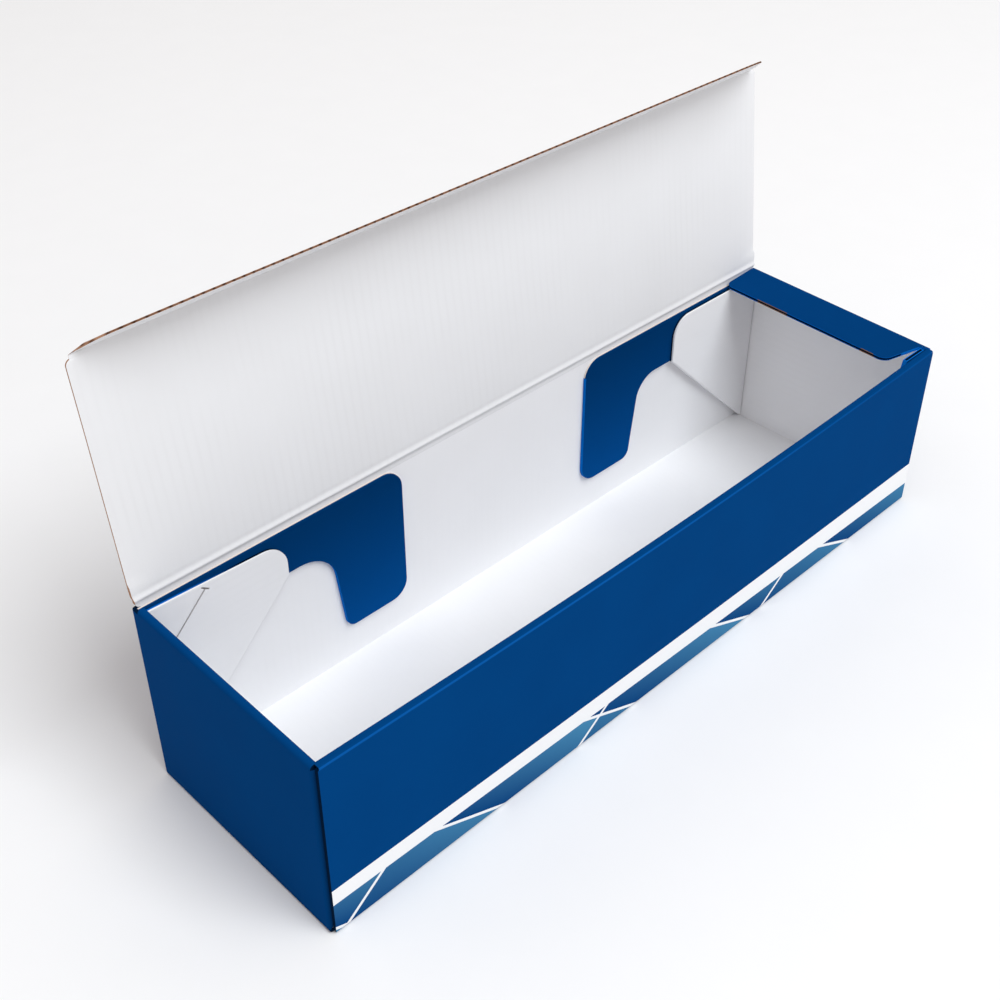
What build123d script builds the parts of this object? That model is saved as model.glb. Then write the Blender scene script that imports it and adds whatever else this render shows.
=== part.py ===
"""A wine gift box, folded from one die-cut sheet of printed corrugated board.

The sheet is modelled as five solids, because it has four flaps that move: the tray, the lid with
its tuck flap, and a flap on each end wall. The origin is the centre of the floor's underside, with
X along the box, Y towards the hinge at the rear and Z up. The lid stands open at rest.
"""

import os
from math import atan, cos, degrees, radians, sin

from build123d import *

os.makedirs("parts", exist_ok=True)

# The sheet and the box
board = 1.6
box_length = 350.0
box_width = 102.0
front_height = 83.5
rear_rise = 3.2
end_rise = 2.5
fold_radius = 1.4
hinge_clearance = 0.3

# The rolled front wall and the tabs glued behind it
hem_depth = 30.0
hem_setback = 0.3
tab_length = 42.0
tab_clearance = 1.5

# The web gussets in the rear corners, each with an arm that hangs beside it
gusset_edge = 19.0
gusset_corner = 10.0
arm_step = 2.4
arm_flat = 9.5
arm_hollow = 12.0
arm_corner = 9.0
leg_head = 37.0
leg_foot = 31.5
foot_rise = 17.5
foot_inner_corner = 8.0
foot_outer_corner = 4.5

# The lid and its tuck flap
lid_lean = 7.0
lid_depth = 95.5
lid_side_clearance = 0.3
tuck_inset = 12.0
tuck_side = 6.0
tuck_corner = 16.0
tuck_fold = 61.0

# The end flaps
flap_depth = 25.5
flap_front_setback = 4.5
flap_front_slope_share = 0.31
flap_rear_clearance = 1.4
flap_corner = 5.0
flap_clearance = 0.1

# Places that follow from the sizes
half_length = box_length / 2
half_width = box_width / 2
inner_length = half_length - board
rear_height = front_height + rear_rise
flap_axis_height = front_height - board
end_height = flap_axis_height - flap_clearance
end_slope = degrees(atan(end_rise / box_width))
flap_axis_middle = flap_axis_height + end_rise / 2
flap_axis_reach = inner_length - flap_clearance / 2
gusset_reach = end_height - board - gusset_edge
web_end = inner_length - gusset_reach
web_height = board + gusset_reach
arm_height = rear_height - arm_step
leg_outer = web_end - arm_flat - arm_hollow
leg_inner = leg_outer - leg_head
foot_height = board + foot_rise
hinge_y = half_width - board / 2
hinge_height = rear_height + board / 2 + hinge_clearance
edge_gap = board / 2 + hinge_clearance
lid_half_length = inner_length - lid_side_clearance


def lean_direction(degrees):
    """Give the unit vector that leans back from upright by this angle, as the lid does."""
    return Vector(0, sin(radians(degrees)), cos(radians(degrees)))


def corner_near(builder, across, up):
    """Pick the sketch corner that lies nearest to this place in the sketch."""
    return builder.vertices().sort_by_distance((across, up))[0]


def draw_gusset(side):
    """Draw the web flap that lies innermost: its lower edge is the diagonal fold."""
    end = side * inner_length
    free_edge = side * web_end
    Polygon((end, board), (free_edge, web_height), (free_edge, end_height), (end, end_height), align=None)


def draw_arm(side):
    """Draw the layer behind the web flap: it runs on past it as an arm with a hanging leg."""
    Polygon(
        (side * inner_length, board),
        (side * web_end, web_height),
        (side * leg_outer, web_height),
        (side * (leg_inner + leg_foot), foot_height),
        (side * leg_inner, foot_height),
        (side * leg_inner, arm_height),
        (side * inner_length, arm_height),
        align=None,
    )


def draw_end_flap():
    """Draw an end flap flat, with x running from its fold to its free edge and y to the front."""
    front = half_width - flap_front_setback
    rear = 3 * board + flap_rear_clearance - half_width
    free_front = front - flap_front_slope_share * flap_depth
    Polygon((0, front), (flap_depth, free_front), (flap_depth, rear), (0, rear), align=None)


# The tray: floor and walls bent from the sheet; the end walls slope up to the taller rear wall
with BuildPart() as tray:
    with BuildSketch():
        Rectangle(box_length, box_width)
    extrude(amount=rear_height)
    rear_corners = tray.edges().filter_by(Axis.Z).group_by(Axis.Y)[-1]
    floor_edges = tray.faces().sort_by(Axis.Z)[0].edges()
    fillet(rear_corners + floor_edges, radius=fold_radius)
    with BuildSketch(Plane.XY.offset(board)):
        Rectangle(box_length - 2 * board, box_width - 2 * board)
    extrude(amount=rear_height, mode=Mode.SUBTRACT)
    with BuildSketch(Plane.YZ):
        Polygon(
            (-half_width, end_height),
            (half_width - board, end_height + end_rise),
            (half_width - board, 2 * rear_height),
            (-half_width, 2 * rear_height),
            align=None,
        )
    extrude(amount=half_length, both=True, mode=Mode.SUBTRACT)

    # The front wall is rolled over: its top edge is a full bend and its end is glued inside
    with BuildSketch(Plane.YZ):
        with Locations((board - half_width, front_height - board)):
            Circle(board)
        Polygon(
            (-half_width, front_height - board),
            (-half_width, front_height - hem_depth),
            (2 * board - half_width, front_height - hem_depth),
            (2 * board - half_width, front_height - board),
            align=None,
        )
    extrude(amount=inner_length - hem_setback, both=True)

    # The end walls' front tabs are glued behind the front wall, under the hem
    tab_top = front_height - hem_depth - tab_clearance
    with BuildSketch(Plane.XZ.offset(half_width - 2 * board)):
        for side in (-1, 1):
            Polygon(
                (side * inner_length, board),
                (side * (inner_length - tab_length), board + tab_clearance),
                (side * (inner_length - tab_length), tab_top),
                (side * inner_length, tab_top),
                align=None,
            )
    extrude(amount=board)

    # The two web layers in each rear corner lie flat on the rear wall
    for side in (-1, 1):
        with BuildSketch(Plane.XZ.offset(board - half_width)) as arm:
            draw_arm(side)
            fillet(corner_near(arm, side * leg_inner, arm_height), radius=arm_corner)
            fillet(corner_near(arm, side * leg_inner, foot_height), radius=foot_inner_corner)
            fillet(corner_near(arm, side * (leg_inner + leg_foot), foot_height), radius=foot_outer_corner)
            fillet(corner_near(arm, side * leg_outer, web_height), radius=arm_hollow)
        extrude(amount=board)
        with BuildSketch(Plane.XZ.offset(2 * board - half_width)) as gusset:
            draw_gusset(side)
            fillet(corner_near(gusset, side * web_end, end_height), radius=gusset_corner)
        extrude(amount=board)
tray.part.label = "tray"
export_step(tray.part, "parts/tray.step")

# The lid: a panel whose hinge edge is rounded about the fold's axis
lid_up = lean_direction(lid_lean)
hinge_point = Vector(0, hinge_y, hinge_height)
with BuildPart() as lid:
    with BuildSketch(Plane(origin=hinge_point, x_dir=lid_up, z_dir=(1, 0, 0))):
        Circle(board / 2)
        Rectangle(lid_depth - edge_gap, board, align=(Align.MIN, Align.CENTER))
    extrude(amount=lid_half_length, both=True)
lid.part.label = "lid"
export_step(lid.part, "parts/lid.step")

# The tuck flap: it folds in along the lid's free edge, and its corners are round
tuck_out = lean_direction(lid_lean - tuck_fold)
tuck_point = hinge_point + lid_up * lid_depth
tuck_half_length = lid_half_length - tuck_inset
with BuildPart() as tuck_flap:
    with BuildSketch(Plane(origin=tuck_point, x_dir=tuck_out, z_dir=(1, 0, 0))):
        Circle(board / 2)
    extrude(amount=tuck_half_length, both=True)
    with BuildSketch(Plane(origin=tuck_point, x_dir=(1, 0, 0), z_dir=Vector(1, 0, 0).cross(tuck_out))) as tuck:
        Rectangle(2 * tuck_half_length, tuck_side + tuck_corner, align=(Align.CENTER, Align.MIN))
        fillet(tuck.vertices().group_by(Axis.Y)[-1], radius=tuck_corner)
    extrude(amount=board / 2, both=True)
tuck_flap.part.label = "tuck_flap"
export_step(tuck_flap.part, "parts/tuck_flap.step")

# The end flaps: both folds slope with the end walls; the right flap lies flat, the left one hangs inside
flap_normal = lean_direction(-end_slope)
with BuildPart() as right_end_flap:
    fold = (flap_axis_reach, 0, flap_axis_middle)
    with BuildSketch(Plane(origin=fold, x_dir=(-1, 0, 0), z_dir=flap_normal)) as outline:
        draw_end_flap()
        fillet(outline.vertices().group_by(Axis.X)[-1], radius=flap_corner)
    extrude(amount=board)
right_end_flap.part.label = "right_end_flap"
export_step(right_end_flap.part, "parts/right_end_flap.step")

with BuildPart() as left_end_flap:
    fold = (-flap_axis_reach, 0, flap_axis_middle)
    with BuildSketch(Plane(origin=fold, x_dir=-flap_normal, z_dir=(-1, 0, 0))) as outline:
        draw_end_flap()
        fillet(outline.vertices().group_by(Axis.X)[-1], radius=flap_corner)
    extrude(amount=-board)
left_end_flap.part.label = "left_end_flap"
export_step(left_end_flap.part, "parts/left_end_flap.step")
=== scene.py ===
# %% [markdown]
# # A wine gift box, folded from one sheet of printed board
#
# The real box is one die-cut sheet of fine-flute corrugated board, blue outside and white inside. Every
# wall is the same thin board, bent along creases. So each piece here starts as a sheet with no thickness,
# is folded along its creases, and only then gets its board.
#
# The solids of the part are loaded first. They hold the sizes, the hinges and the frame, in metres, with X
# along the box, Y towards the hinge and Z up. The solids are kept, hidden as their pieces are built.

import math

import bmesh
import bpy
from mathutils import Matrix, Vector


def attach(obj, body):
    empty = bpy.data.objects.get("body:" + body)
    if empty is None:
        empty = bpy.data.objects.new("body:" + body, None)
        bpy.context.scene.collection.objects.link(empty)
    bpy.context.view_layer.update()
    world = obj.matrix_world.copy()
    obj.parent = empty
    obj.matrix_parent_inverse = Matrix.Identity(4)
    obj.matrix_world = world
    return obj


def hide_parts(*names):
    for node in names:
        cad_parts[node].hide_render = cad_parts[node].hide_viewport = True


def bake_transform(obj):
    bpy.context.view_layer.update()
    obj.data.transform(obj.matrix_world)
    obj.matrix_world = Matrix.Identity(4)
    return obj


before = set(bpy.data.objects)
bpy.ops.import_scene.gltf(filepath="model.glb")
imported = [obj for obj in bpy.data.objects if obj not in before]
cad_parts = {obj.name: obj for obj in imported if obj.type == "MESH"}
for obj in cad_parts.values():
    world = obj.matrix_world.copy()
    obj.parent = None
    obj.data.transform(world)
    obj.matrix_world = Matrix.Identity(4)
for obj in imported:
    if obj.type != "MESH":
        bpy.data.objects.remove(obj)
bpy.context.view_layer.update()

# %% [markdown]
# ## The sizes of the sheet
#
# These are the sizes of the solids, so every fold falls on its hinge. A die maker would read them off the
# drawing of the flat sheet. The end walls slope: their tops rise from the front wall to the rear wall.

# %% Name the sizes
board = 0.0016
half_length = 0.175
half_width = 0.051
front_height = 0.0835
end_rise = 0.0025
bend_radius = 0.00165
flap_clearance = 0.0001
inner_length = half_length - board
flap_axis_height = front_height - board
end_height = flap_axis_height - flap_clearance
flap_axis_reach = inner_length - flap_clearance / 2
hinge_y = 0.0502
hinge_height = 0.0878
lid_lean = math.radians(7)
lid_depth = 0.0955


def end_slope(y):
    """How much higher the end walls stand at this depth than they would at the front."""
    return end_rise * (y + half_width) / (2 * half_width)


def smooth_share(value):
    """Go gently from 0 to 1 as the value does, as a crease bends the board."""
    value = min(max(value, 0.0), 1.0)
    return value * value * (3 - 2 * value)


print("board", board, "lid from", hinge_height, "deep", lid_depth)

# %% [markdown]
# ## Two effects that all the finishes share
#
# Corrugated board shows its flutes through the paper as faint, even ridges, almost 4 mm apart. Paper
# is also never one flat colour: it is cloudy over centimetres and fibrous below a millimetre. Both effects
# are node groups, so each finish places them with its own values.

# %% Make the shared node groups
flute_pitch = 0.0039
wander_scale = 14
wander_reach = 0.0028
ridge_power = 3
patch_scale = 30
patch_gain = 3.2
patch_start = -1.1
cloud_scale = 35
fibre_scale = 1400


def new_group(name, inputs, outputs):
    """Make an empty group with named sockets, and give it with its two ends."""
    group = bpy.data.node_groups.new(name, "ShaderNodeTree")
    for socket_name, kind in inputs:
        group.interface.new_socket(socket_name, in_out="INPUT", socket_type=kind)
    for socket_name, kind in outputs:
        group.interface.new_socket(socket_name, in_out="OUTPUT", socket_type=kind)
    start = group.nodes.new("NodeGroupInput")
    end = group.nodes.new("NodeGroupOutput")
    return group, start, end


def add_node(tree, kind, **values):
    """Add a node and set its own properties."""
    node = tree.nodes.new(kind)
    for key, value in values.items():
        setattr(node, key, value)
    return node


def math_node(tree, operation, first, second=None, third=None):
    """Add a Math node fed by numbers or sockets, and give its result."""
    node = add_node(tree, "ShaderNodeMath", operation=operation)
    for index, value in enumerate((first, second, third)):
        if value is None:
            continue
        if isinstance(value, (int, float)):
            node.inputs[index].default_value = value
        else:
            tree.links.new(value, node.inputs[index])
    return node.outputs[0]


def noise_node(tree, place, scale, detail):
    """Add cloud noise at a scale, counted per metre."""
    node = add_node(tree, "ShaderNodeTexNoise")
    node.inputs["Scale"].default_value = scale
    node.inputs["Detail"].default_value = detail
    tree.links.new(place, node.inputs["Vector"])
    return node.outputs["Fac"]


flutes, start, end = new_group(
    "flute_ridges",
    (("Place", "NodeSocketVector"), ("Across", "NodeSocketVector")),
    (("Ridge", "NodeSocketFloat"), ("Strength", "NodeSocketFloat")),
)
place = start.outputs["Place"]
along = add_node(flutes, "ShaderNodeVectorMath", operation="DOT_PRODUCT")
flutes.links.new(place, along.inputs[0])
flutes.links.new(start.outputs["Across"], along.inputs[1])
wander = math_node(flutes, "MULTIPLY", noise_node(flutes, place, wander_scale, detail=2), wander_reach)
phase = math_node(flutes, "ADD", along.outputs["Value"], wander)
wave = math_node(flutes, "SINE", math_node(flutes, "MULTIPLY", phase, 2 * math.pi / flute_pitch))
narrow = math_node(flutes, "POWER", math_node(flutes, "MULTIPLY_ADD", wave, 0.5, 0.5), ridge_power)
patches = noise_node(flutes, place, patch_scale, detail=3)
patchy = math_node(flutes, "MULTIPLY_ADD", patches, patch_gain, patch_start)
flutes.links.new(narrow, end.inputs["Ridge"])
flutes.links.new(patchy, end.inputs["Strength"])

mottle, start, end = new_group(
    "paper_mottle",
    (("Place", "NodeSocketVector"),),
    (("Cloud", "NodeSocketFloat"), ("Fibre", "NodeSocketFloat")),
)
place = start.outputs["Place"]
mottle.links.new(noise_node(mottle, place, cloud_scale, detail=4), end.inputs["Cloud"])
mottle.links.new(noise_node(mottle, place, fibre_scale, detail=3), end.inputs["Fibre"])
print("groups", flutes.name, mottle.name)

# %% [markdown]
# ## The finishes of the board
#
# The papers of the board show as satin blue print outside and as white liner inside. Where the board is
# cut, its edge shows the core, or ink that has run round it. Each finish is one Principled shader fed by
# the two groups, and these small functions set up what all of them share.

# %% Helpers for materials
along_box = (1.0, 0.0, 0.0)
up_box = (0.0, 0.0, 1.0)


def new_finish(name):
    """Start a material: give it, its tree, its shader and the place on the piece."""
    finish = bpy.data.materials.new(name)
    finish.use_nodes = True
    tree = finish.node_tree
    shader = tree.nodes["Principled BSDF"]
    place = tree.nodes.new("ShaderNodeTexCoord").outputs["Object"]
    return finish, tree, shader, place


def add_group(tree, group, place):
    """Place one of the shared groups in a material."""
    node = tree.nodes.new("ShaderNodeGroup")
    node.node_tree = group
    tree.links.new(place, node.inputs["Place"])
    return node


def split_place(tree, place):
    """Give the sockets that hold the place along each axis."""
    node = tree.nodes.new("ShaderNodeSeparateXYZ")
    tree.links.new(place, node.inputs[0])
    return node.outputs


def share_between(tree, value, start, end, low=0.0, high=1.0, kind="LINEAR"):
    """Turn a value into a share that is low at the start and high at the end."""
    node = add_node(tree, "ShaderNodeMapRange", interpolation_type=kind)
    limits = {"From Min": start, "From Max": end, "To Min": low, "To Max": high}
    for socket_name, limit in limits.items():
        node.inputs[socket_name].default_value = limit
    tree.links.new(value, node.inputs["Value"])
    return node.outputs["Result"]


def blend_colours(tree, share, first, second):
    """Mix two colours, or sockets that hold colours, by a share from 0 to 1."""
    node = add_node(tree, "ShaderNodeMix", data_type="RGBA", clamp_factor=True)
    tree.links.new(share, node.inputs["Factor"])
    for socket, colour in ((node.inputs["A"], first), (node.inputs["B"], second)):
        if isinstance(colour, tuple):
            socket.default_value = (*colour, 1.0)
        else:
            tree.links.new(colour, socket)
    return node.outputs["Result"]


def cloudy_colour(tree, place, first, second):
    """Mix two colours by the clouds of the paper."""
    paper = add_group(tree, mottle, place)
    return blend_colours(tree, paper.outputs["Cloud"], first, second)


def add_bump(tree, shader, height, distance):
    """Let a height stand proud of the surface by a distance in metres."""
    node = tree.nodes.new("ShaderNodeBump")
    node.inputs["Distance"].default_value = distance
    node.inputs["Strength"].default_value = 1.0
    tree.links.new(height, node.inputs["Height"])
    tree.links.new(node.outputs["Normal"], shader.inputs["Normal"])


def set_surface(tree, shader, colour, rough, sheen):
    """Set a colour, a roughness as a number or a socket, and how strongly light is mirrored."""
    tree.links.new(colour, shader.inputs["Base Color"])
    if isinstance(rough, float):
        shader.inputs["Roughness"].default_value = rough
    else:
        tree.links.new(rough, shader.inputs["Roughness"])
    shader.inputs["Specular IOR Level"].default_value = sheen


print("ridges are counted along", along_box, "or", up_box)

# %% [markdown]
# ### Blue print
#
# The print is a satin ink, which catches the light softly along its folds. On the end flap the same ink is
# painted deeper, as painted shade, and at the tray's front corners it is painted dark into the grooves, as
# painted shade. One function gives all prints their gloss and grain, so only their colours differ.

# %% Blue print
deep_blue = (0.0005, 0.0435, 0.172)
bright_blue = (0.0009, 0.0510, 0.195)
# A darker copy of the blue print for the end flap's upward face, as painted shade.
shaded_flap_deep_blue = (0.0005, 0.0375, 0.150)
shaded_flap_bright_blue = (0.0008, 0.0440, 0.170)
# Near black blues, painted shade for grooves and for cut edges that lie in shadow.
groove_shade_blue = (0.0004, 0.005, 0.018)
groove_shade_blue_light = (0.001, 0.016, 0.055)
print_rough = 0.42
print_rough_gain = 0.14
print_sheen = 0.0015
print_grain = 0.000012
ridge_trace = 0.25
corner_shade_span = (-0.0476, -0.0506)


def dress_print(tree, shader, place, colour):
    """Give a print its satin gloss, fine paper grain and a trace of the flutes."""
    paper = add_group(tree, mottle, place)
    ridges = add_group(tree, flutes, place)
    ridges.inputs["Across"].default_value = along_box
    gloss = math_node(tree, "MULTIPLY_ADD", paper.outputs["Cloud"], print_rough_gain, print_rough)
    set_surface(tree, shader, colour, gloss, print_sheen)
    height = math_node(tree, "MULTIPLY_ADD", ridges.outputs["Ridge"], ridge_trace, paper.outputs["Fibre"])
    add_bump(tree, shader, height, print_grain)


blue_print, tree, shader, place = new_finish("blue_print")
dress_print(tree, shader, place, cloudy_colour(tree, place, deep_blue, bright_blue))

# The end flap's print is the same blue painted darker, as painted shade.
shaded_flap_print, tree, shader, place = new_finish("shaded_flap_print")
dress_print(tree, shader, place, cloudy_colour(tree, place, shaded_flap_deep_blue, shaded_flap_bright_blue))

# At the tray's front corners the print darkens into the grooves, as painted shade.
tray_print, tree, shader, place = new_finish("tray_print")
depth = split_place(tree, place)["Y"]
corner = share_between(tree, depth, *corner_shade_span, kind="SMOOTHSTEP")
wall_blues = cloudy_colour(tree, place, deep_blue, bright_blue)
dress_print(tree, shader, place, blend_colours(tree, corner, wall_blues, groove_shade_blue_light))
print("finishes", blue_print.name, shaded_flap_print.name, tray_print.name)

# %% [markdown]
# ### White liner
#
# The inside is lined with white paper, through which the flutes show as faint lines. On the end walls and
# the web flaps the ridges are counted upwards. The lid and the floor are the same paper painted a little
# greyer than the walls, as painted shade, so one function makes the same paper in several tones.

# %% White liner
white = Vector((0.92, 0.92, 0.932))
shaded_white = Vector((0.74, 0.73, 0.73))
cloud_shade = 0.22
liner_rough = 0.62
liner_rough_gain = 0.2
liner_sheen = 0.2
liner_grain = 0.000015


def make_liner(name, across, contrast, tone=1.0):
    """Make the white inside paper, with the flutes' ridges counted in one direction."""
    finish, tree, shader, place = new_finish(name)
    paper = add_group(tree, mottle, place)
    ridges = add_group(tree, flutes, place)
    ridges.inputs["Across"].default_value = across
    lines = math_node(tree, "MULTIPLY", ridges.outputs["Ridge"], ridges.outputs["Strength"])
    cloudy = math_node(tree, "MULTIPLY", paper.outputs["Cloud"], cloud_shade)
    shade = math_node(tree, "MULTIPLY_ADD", lines, contrast, cloudy)
    colour = blend_colours(tree, shade, tuple(tone * white), tuple(tone * shaded_white))
    rough = math_node(tree, "MULTIPLY_ADD", paper.outputs["Fibre"], liner_rough_gain, liner_rough)
    set_surface(tree, shader, colour, rough, liner_sheen)
    height = math_node(tree, "MULTIPLY_ADD", lines, 4 * contrast, paper.outputs["Fibre"])
    add_bump(tree, shader, height, liner_grain)
    return finish


white_liner = make_liner("white_liner", along_box, contrast=0.03)
white_liner_ends = make_liner("white_liner_ends", up_box, contrast=0.05)
# The floor and the lid take darker copies of the same liner, as painted shade.
white_liner_floor_shaded = make_liner("white_liner_floor_shaded", along_box, contrast=0.03, tone=0.93)
white_liner_lid_shaded = make_liner("white_liner_lid_shaded", along_box, contrast=0.085, tone=0.86)
print("finishes", white_liner.name, white_liner_ends.name, white_liner_floor_shaded.name, white_liner_lid_shaded.name)

# %% [markdown]
# ### Cut edges
#
# A fresh cut shows the brown core with its flutes. On the flaps and arms ink has run round the cut, and it
# is bright there and rubbed through on the right end flap. Cut edges in shadow, grooves and the inner end
# of one web flap's rim are painted near black blue, as painted shade. The place along the edge decides
# where, so nothing has to be painted by hand.

# %% Cut edges
kraft_light = (0.46, 0.25, 0.15)
kraft_dark = (0.09, 0.032, 0.015)
kraft_fibre = 0.5
kraft_depth = 0.75
kraft_grain = 0.00008
edge_blue = (0.001, 0.125, 0.52)
edge_blue_pale = (0.004, 0.190, 0.66)
cream_shaded = (0.62, 0.50, 0.42)
cream_light = (0.84, 0.78, 0.72)
slit_shaded = (0.48, 0.45, 0.45)
slit_light = (0.70, 0.67, 0.67)
worn_brown = (0.30, 0.17, 0.10)
ink_sheen = 0.01
paper_sheen = 0.5
edge_grain = 0.00005
ink_to_shade_span = (-0.158, -0.132)
worn_rough = 0.6
worn_rough_gain = 0.2
ragged_scale = 300
ragged_reach = 0.006
rear_patch = (0.0245, 0.0085)
front_patch = (-0.0280, 0.0040)

kraft_edge, tree, shader, place = new_finish("kraft_edge")
ridges = add_group(tree, flutes, place)
ridges.inputs["Across"].default_value = along_box
fibre = add_group(tree, mottle, place).outputs["Fibre"]
dark = math_node(tree, "MULTIPLY_ADD", fibre, kraft_fibre, ridges.outputs["Ridge"])
dark = math_node(tree, "MULTIPLY", dark, kraft_depth)
set_surface(tree, shader, blend_colours(tree, dark, kraft_light, kraft_dark), rough=0.9, sheen=0.1)
add_bump(tree, shader, fibre, kraft_grain)


def make_edge(name, first, second, rough, sheen, fibre_power=1.0, grain=edge_grain):
    """Make a cut edge whose fibres vary between two colours."""
    finish, tree, shader, place = new_finish(name)
    fibre = add_group(tree, mottle, place).outputs["Fibre"]
    share = math_node(tree, "POWER", fibre, fibre_power)
    set_surface(tree, shader, blend_colours(tree, share, first, second), rough, sheen)
    if grain > 0:
        add_bump(tree, shader, fibre, grain)
    return finish


inked_edge = make_edge("inked_edge", edge_blue, edge_blue_pale, 0.6, ink_sheen, fibre_power=2.2)
# Painted shade: a near black blue for cut edges and grooves that lie in shadow.
painted_shade_edge = make_edge("painted_shade_edge", groove_shade_blue, groove_shade_blue_light, 0.8, ink_sheen)
pale_edge = make_edge("pale_edge", cream_shaded, cream_light, 0.8, paper_sheen)
# The slit's faces are painted grey, as painted shade inside the narrow cut.
slit_edge = make_edge("slit_edge", slit_shaded, slit_light, 0.8, paper_sheen, grain=0)

worn_edge, tree, shader, place = new_finish("worn_edge")
noise = noise_node(tree, place, ragged_scale, detail=2)
ragged = math_node(tree, "MULTIPLY_ADD", noise, ragged_reach, split_place(tree, place)["Y"])
rear_wear = math_node(tree, "COMPARE", ragged, *rear_patch)
front_wear = math_node(tree, "COMPARE", ragged, *front_patch)
worn = math_node(tree, "MAXIMUM", rear_wear, front_wear)
fibre = add_group(tree, mottle, place).outputs["Fibre"]
rough = math_node(tree, "MULTIPLY_ADD", fibre, worn_rough_gain, worn_rough)
set_surface(tree, shader, blend_colours(tree, worn, edge_blue, worn_brown), rough, ink_sheen)

# The left web flap's rim goes from inked blue into the painted shade blue towards the middle, as painted
# shade.
inked_to_shade_edge, tree, shader, place = new_finish("inked_to_shade_edge")
fade = share_between(tree, split_place(tree, place)["X"], *ink_to_shade_span)
set_surface(tree, shader, blend_colours(tree, fade, edge_blue, groove_shade_blue), rough=0.7, sheen=ink_sheen)
edges = (kraft_edge, inked_edge, painted_shade_edge, pale_edge, slit_edge, worn_edge, inked_to_shade_edge)
print("finishes", [edge.name for edge in edges])

# %% [markdown]
# ### The printed front
#
# The front carries a white stripe that widens towards the right, over a band of light and dark blue. The
# height on the front is compared with straight lines, which gives crisp edges at any distance. Two sets of
# slanting lines cut the band into panes. A paler line along the rim's crease is a painted highlight, and it
# fades towards the right.

# %% Printed front
print_white = (0.86, 0.865, 0.875)
light_blue = (0.060, 0.225, 0.400)
pane_blue = (0.0008, 0.047, 0.185)
rim_highlight_blue = (0.004, 0.098, 0.38)
band_ends = (0.0156, 0.0098)
stripe_ends = (0.0231, 0.0211)
wide_panes = {"slant": 2.3, "width": 0.074, "offset": 0.020, "line": 0.0035}
steep_panes = {"slant": -1.2, "width": 0.116, "offset": 0.055, "line": 0.00224}
least_shade = 0.6
shade_gain = 0.45
rim_line_foot = 0.0011
rim_line_head = 0.0002
rim_line_depth = 0.0008
rim_fade_ends = (-0.02, 0.14)
rim_shares = (0.65, 0.20)
front_skin = 0.0002

front_print, tree, shader, place = new_finish("front_print")
parts = split_place(tree, place)
along_front = parts["X"]
height_on_front = parts["Z"]


def above_line(left_height, right_height):
    """Tell where the front is above a straight line from its left end to its right end."""
    slope = (right_height - left_height) / (2 * half_length)
    middle = (right_height + left_height) / 2
    line = math_node(tree, "MULTIPLY_ADD", along_front, slope, middle)
    return math_node(tree, "GREATER_THAN", height_on_front, line)


def draw_panes(slant, width, offset, line):
    """Give the share gone through each pane between slanting lines, and where those lines are."""
    slanted = math_node(tree, "MULTIPLY_ADD", height_on_front, slant, along_front)
    panes = math_node(tree, "DIVIDE", math_node(tree, "ADD", slanted, offset), width)
    share = math_node(tree, "FRACT", panes)
    return share, math_node(tree, "LESS_THAN", share, line / width)


def before_depth(depth):
    """Tell where the sheet is less than this far behind the straight front."""
    return math_node(tree, "LESS_THAN", parts["Y"], depth - half_width)


wide_share, wide_line = draw_panes(**wide_panes)
steep_share, steep_line = draw_panes(**steep_panes)
steep_shade = math_node(tree, "MULTIPLY_ADD", steep_share, shade_gain, least_shade)
shade = math_node(tree, "MULTIPLY", wide_share, steep_shade)
band = blend_colours(tree, shade, pane_blue, light_blue)
band = blend_colours(tree, math_node(tree, "MAXIMUM", wide_line, steep_line), band, print_white)
plain = cloudy_colour(tree, place, deep_blue, bright_blue)
# Painted highlight: a paler blue line where the light catches the rim's crease, fading towards the right.
over_foot = math_node(tree, "GREATER_THAN", height_on_front, front_height - rim_line_foot)
under_head = math_node(tree, "LESS_THAN", height_on_front, front_height - rim_line_head)
rim_band = math_node(tree, "MULTIPLY", over_foot, under_head)
rim_highlight = math_node(tree, "MULTIPLY", rim_band, before_depth(rim_line_depth))
rim_fade = share_between(tree, along_front, *rim_fade_ends, *rim_shares)
plain = blend_colours(tree, math_node(tree, "MULTIPLY", rim_highlight, rim_fade), plain, rim_highlight_blue)
lower = blend_colours(tree, above_line(*band_ends), band, print_white)
painted = blend_colours(tree, above_line(*stripe_ends), lower, plain)
dress_print(tree, shader, place, blend_colours(tree, before_depth(front_skin), plain, painted))
print("finish", front_print.name)

# %% [markdown]
# ## Folding a sheet
#
# A folded strip is one row of points, extruded again and again along its profile. Each row may be stretched
# as it is laid, so the side edges follow the die's outline. The Solidify modifier then adds the board
# behind the print, and its material offsets give print, liner and cut edge their own finishes.

# %% Helpers that fold and thicken a sheet
print_side = 0
liner_side = 1
cut_side = 2
core_wall = 0.00002
smooth_angle = math.radians(35)


def edit_mode():
    """Start editing the active piece."""
    bpy.ops.object.mode_set(mode="EDIT")


def object_mode():
    """Stop editing."""
    bpy.ops.object.mode_set(mode="OBJECT")


def select_only(piece, kind, wanted):
    """Select only the points, edges or faces that pass a test."""
    bpy.ops.mesh.select_mode(type=kind)
    bpy.ops.mesh.select_all(action="DESELECT")
    sheet = bmesh.from_edit_mesh(piece.data)
    for part in {"VERT": sheet.verts, "EDGE": sheet.edges, "FACE": sheet.faces}[kind]:
        part.select = wanted(part)
    sheet.select_flush_mode()
    bmesh.update_edit_mesh(piece.data)


def split_at(place, normal):
    """Cut new edges right through the piece, where a plane passes."""
    bpy.ops.mesh.select_all(action="SELECT")
    bpy.ops.mesh.bisect(plane_co=place, plane_no=normal)


def take_piece(name):
    """Name the object that was just made, and give it."""
    piece = bpy.context.object
    piece.name = name
    piece.data.name = name
    return piece


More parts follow.
